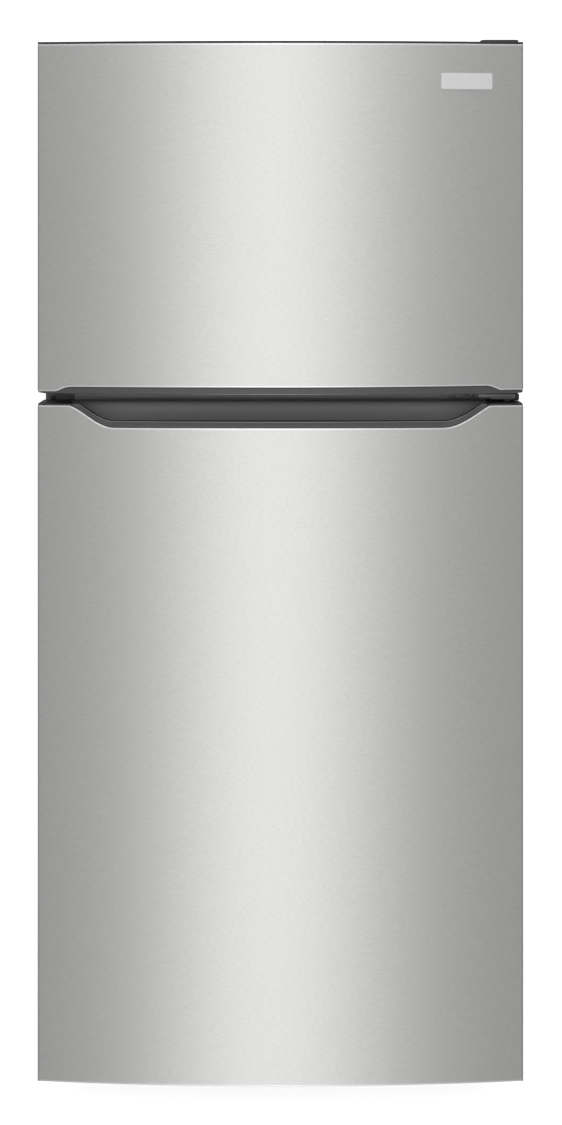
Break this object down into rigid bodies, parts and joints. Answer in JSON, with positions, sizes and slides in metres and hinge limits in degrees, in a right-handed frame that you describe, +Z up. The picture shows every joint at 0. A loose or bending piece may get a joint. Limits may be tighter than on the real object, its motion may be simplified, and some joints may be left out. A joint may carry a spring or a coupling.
{
  "type": "top freezer refrigerator",
  "caption": "Free-standing refrigerator with a freezer on top, bowed steel doors hinged on the right and a grip pocket between them.",
  "frame": {"origin": "on the floor, under the middle of the appliance's bounding box", "axes": "+X to the right as seen from the front, +Y towards the back, +Z up; the doors face -Y"},
  "size_m": [0.766, 0.772, 1.68],
  "materials": {
    "brushed_steel_skin": "fine horizontal brushing",
    "cabinet_paint": "textured grey paint",
    "galvanised": "bare zinc coated steel",
    "dark_plastic": "satin charcoal",
    "white_liner": "smooth white",
    "white_plastic": "satin white",
    "clear_plastic": "clear moulded plastic",
    "shelf_glass": "tempered glass",
    "frosted_lens": "frosted",
    "foam": "rigid foam",
    "gasket_rubber": "soft light grey",
    "black_rubber": "matt",
    "hinge_steel": "satin grey",
    "screw_steel": "zinc plated",
    "coil_aluminium": "mill finish",
    "black_enamel": "black enamel",
    "copper": "drawn copper",
    "badge_metal": "satin, blank",
    "white_wire": "white coated wire"
  },
  "bodies": {
    "cabinet": {"cabinet_shell": "cabinet_paint", "back_panel": "galvanised", "cabinet_foam": "foam", "freezer_liner": "white_liner", "fridge_liner": "white_liner", "mullion_rail": "dark_plastic", "base_frame": "galvanised", "machine_deck": "galvanised", "top_hinge": "hinge_steel", "top_hinge_cover": "dark_plastic", "center_hinge": "hinge_steel", "bottom_hinge": "hinge_steel", "hinge_screws": "screw_steel", "toe_grille": "dark_plastic", "evaporator": "coil_aluminium", "evaporator_cover": "white_plastic", "evaporator_fan_motor": "dark_plastic", "freezer_shelf": "white_wire", "control_box": "white_plastic", "lamp_cover": "frosted_lens", "shelf_frames": "white_plastic", "shelf_glass": "shelf_glass", "crisper_cover": "white_plastic", "compressor": "black_enamel", "compressor_mounts": "black_rubber", "condenser_coil": "black_enamel", "condenser_fan_motor": "dark_plastic", "drain_pan": "white_plastic", "refrigerant_tubes": "copper", "machine_cover": "cabinet_paint", "cord_gland": "black_rubber"},
    "freezer_door": {"freezer_door_skin": "brushed_steel_skin", "freezer_top_cap": "dark_plastic", "freezer_bottom_cap": "dark_plastic", "freezer_door_foam": "foam", "freezer_door_liner": "white_liner", "freezer_racks": "clear_plastic", "freezer_gasket": "gasket_rubber", "badge": "badge_metal"},
    "fridge_door": {"fridge_door_skin": "brushed_steel_skin", "fridge_top_cap": "dark_plastic", "fridge_bottom_cap": "dark_plastic", "fridge_door_foam": "foam", "fridge_door_liner": "white_liner", "fridge_gasket": "gasket_rubber", "door_bins": "clear_plastic"},
    "dairy_cover": {"dairy_cover": "clear_plastic"},
    "crisper_left": {"crisper_left": "clear_plastic"},
    "crisper_right": {"crisper_right": "clear_plastic"},
    "humidity_slider_left": {"humidity_slider_left": "white_plastic"},
    "humidity_slider_right": {"humidity_slider_right": "white_plastic"},
    "light_switch": {"light_switch": "white_plastic"},
    "fridge_knob": {"fridge_knob": "white_plastic"},
    "freezer_knob": {"freezer_knob": "white_plastic"},
    "evaporator_fan_blade": {"evaporator_fan_blade": "dark_plastic"},
    "condenser_fan_blade": {"condenser_fan_blade": "dark_plastic"},
    "rear_roller_left": {"rear_roller_left": "dark_plastic"},
    "rear_roller_right": {"rear_roller_right": "dark_plastic"},
    "leveling_leg_left": {"leveling_leg_left": "dark_plastic"},
    "leveling_leg_right": {"leveling_leg_right": "dark_plastic"}
  },
  "joints": [
    {"name": "freezer_door_hinge", "type": "hinge", "parent": "cabinet", "child": "freezer_door", "pos_m": [0.362, -0.33, 1.118], "axis": [0, 0, 1], "range_deg": [0, 115]},
    {"name": "fridge_door_hinge", "type": "hinge", "parent": "cabinet", "child": "fridge_door", "pos_m": [0.362, -0.33, 0.038], "axis": [0, 0, 1], "range_deg": [0, 115]},
    {"name": "dairy_cover_hinge", "type": "hinge", "parent": "fridge_door", "child": "dairy_cover", "pos_m": [0, -0.194, 1.023], "axis": [1, 0, 0], "range_deg": [0, 85]},
    {"name": "crisper_left_slide", "type": "slide", "parent": "cabinet", "child": "crisper_left", "axis": [0, -1, 0], "range_m": [0, 0.221]},
    {"name": "crisper_right_slide", "type": "slide", "parent": "cabinet", "child": "crisper_right", "axis": [0, -1, 0], "range_m": [0, 0.221]},
    {"name": "humidity_left_slide", "type": "slide", "parent": "cabinet", "child": "humidity_slider_left", "axis": [1, 0, 0], "range_m": [0, 0.04]},
    {"name": "humidity_right_slide", "type": "slide", "parent": "cabinet", "child": "humidity_slider_right", "axis": [1, 0, 0], "range_m": [0, 0.04]},
    {"name": "light_switch_slide", "type": "slide", "parent": "cabinet", "child": "light_switch", "axis": [0, -1, 0], "range_m": [0, 0.0081]},
    {"name": "fridge_knob_turn", "type": "hinge", "parent": "cabinet", "child": "fridge_knob", "pos_m": [0.07, -0.23, 1.056], "axis": [0, 1, 0], "range_deg": [-135, 135]},
    {"name": "freezer_knob_turn", "type": "hinge", "parent": "cabinet", "child": "freezer_knob", "pos_m": [0.22, 0.255, 1.2], "axis": [0, 1, 0], "range_deg": [-135, 135]},
    {"name": "evaporator_fan_spin", "type": "hinge", "parent": "cabinet", "child": "evaporator_fan_blade", "pos_m": [0, 0.276, 1.45], "axis": [0, 1, 0], "continuous": true},
    {"name": "condenser_fan_spin", "type": "hinge", "parent": "cabinet", "child": "condenser_fan_blade", "pos_m": [0.06, 0.29, 0.15], "axis": [1, 0, 0], "continuous": true},
    {"name": "rear_roller_left_spin", "type": "hinge", "parent": "cabinet", "child": "rear_roller_left", "pos_m": [-0.322, 0.33, 0.019], "axis": [1, 0, 0], "continuous": true},
    {"name": "rear_roller_right_spin", "type": "hinge", "parent": "cabinet", "child": "rear_roller_right", "pos_m": [0.322, 0.33, 0.019], "axis": [1, 0, 0], "continuous": true},
    {"name": "leveling_leg_left_slide", "type": "slide", "parent": "cabinet", "child": "leveling_leg_left", "axis": [0, 0, -1], "range_m": [0, 0.012]},
    {"name": "leveling_leg_right_slide", "type": "slide", "parent": "cabinet", "child": "leveling_leg_right", "axis": [0, 0, -1], "range_m": [0, 0.012]}
  ],
  "couplings": [
    {"joint": "crisper_left_slide", "follows": "fridge_door_hinge", "m_per_rad": 0.11},
    {"joint": "crisper_right_slide", "follows": "fridge_door_hinge", "m_per_rad": 0.11},
    {"joint": "light_switch_slide", "follows": "fridge_door_hinge", "m_per_rad": 0.004}
  ]
}
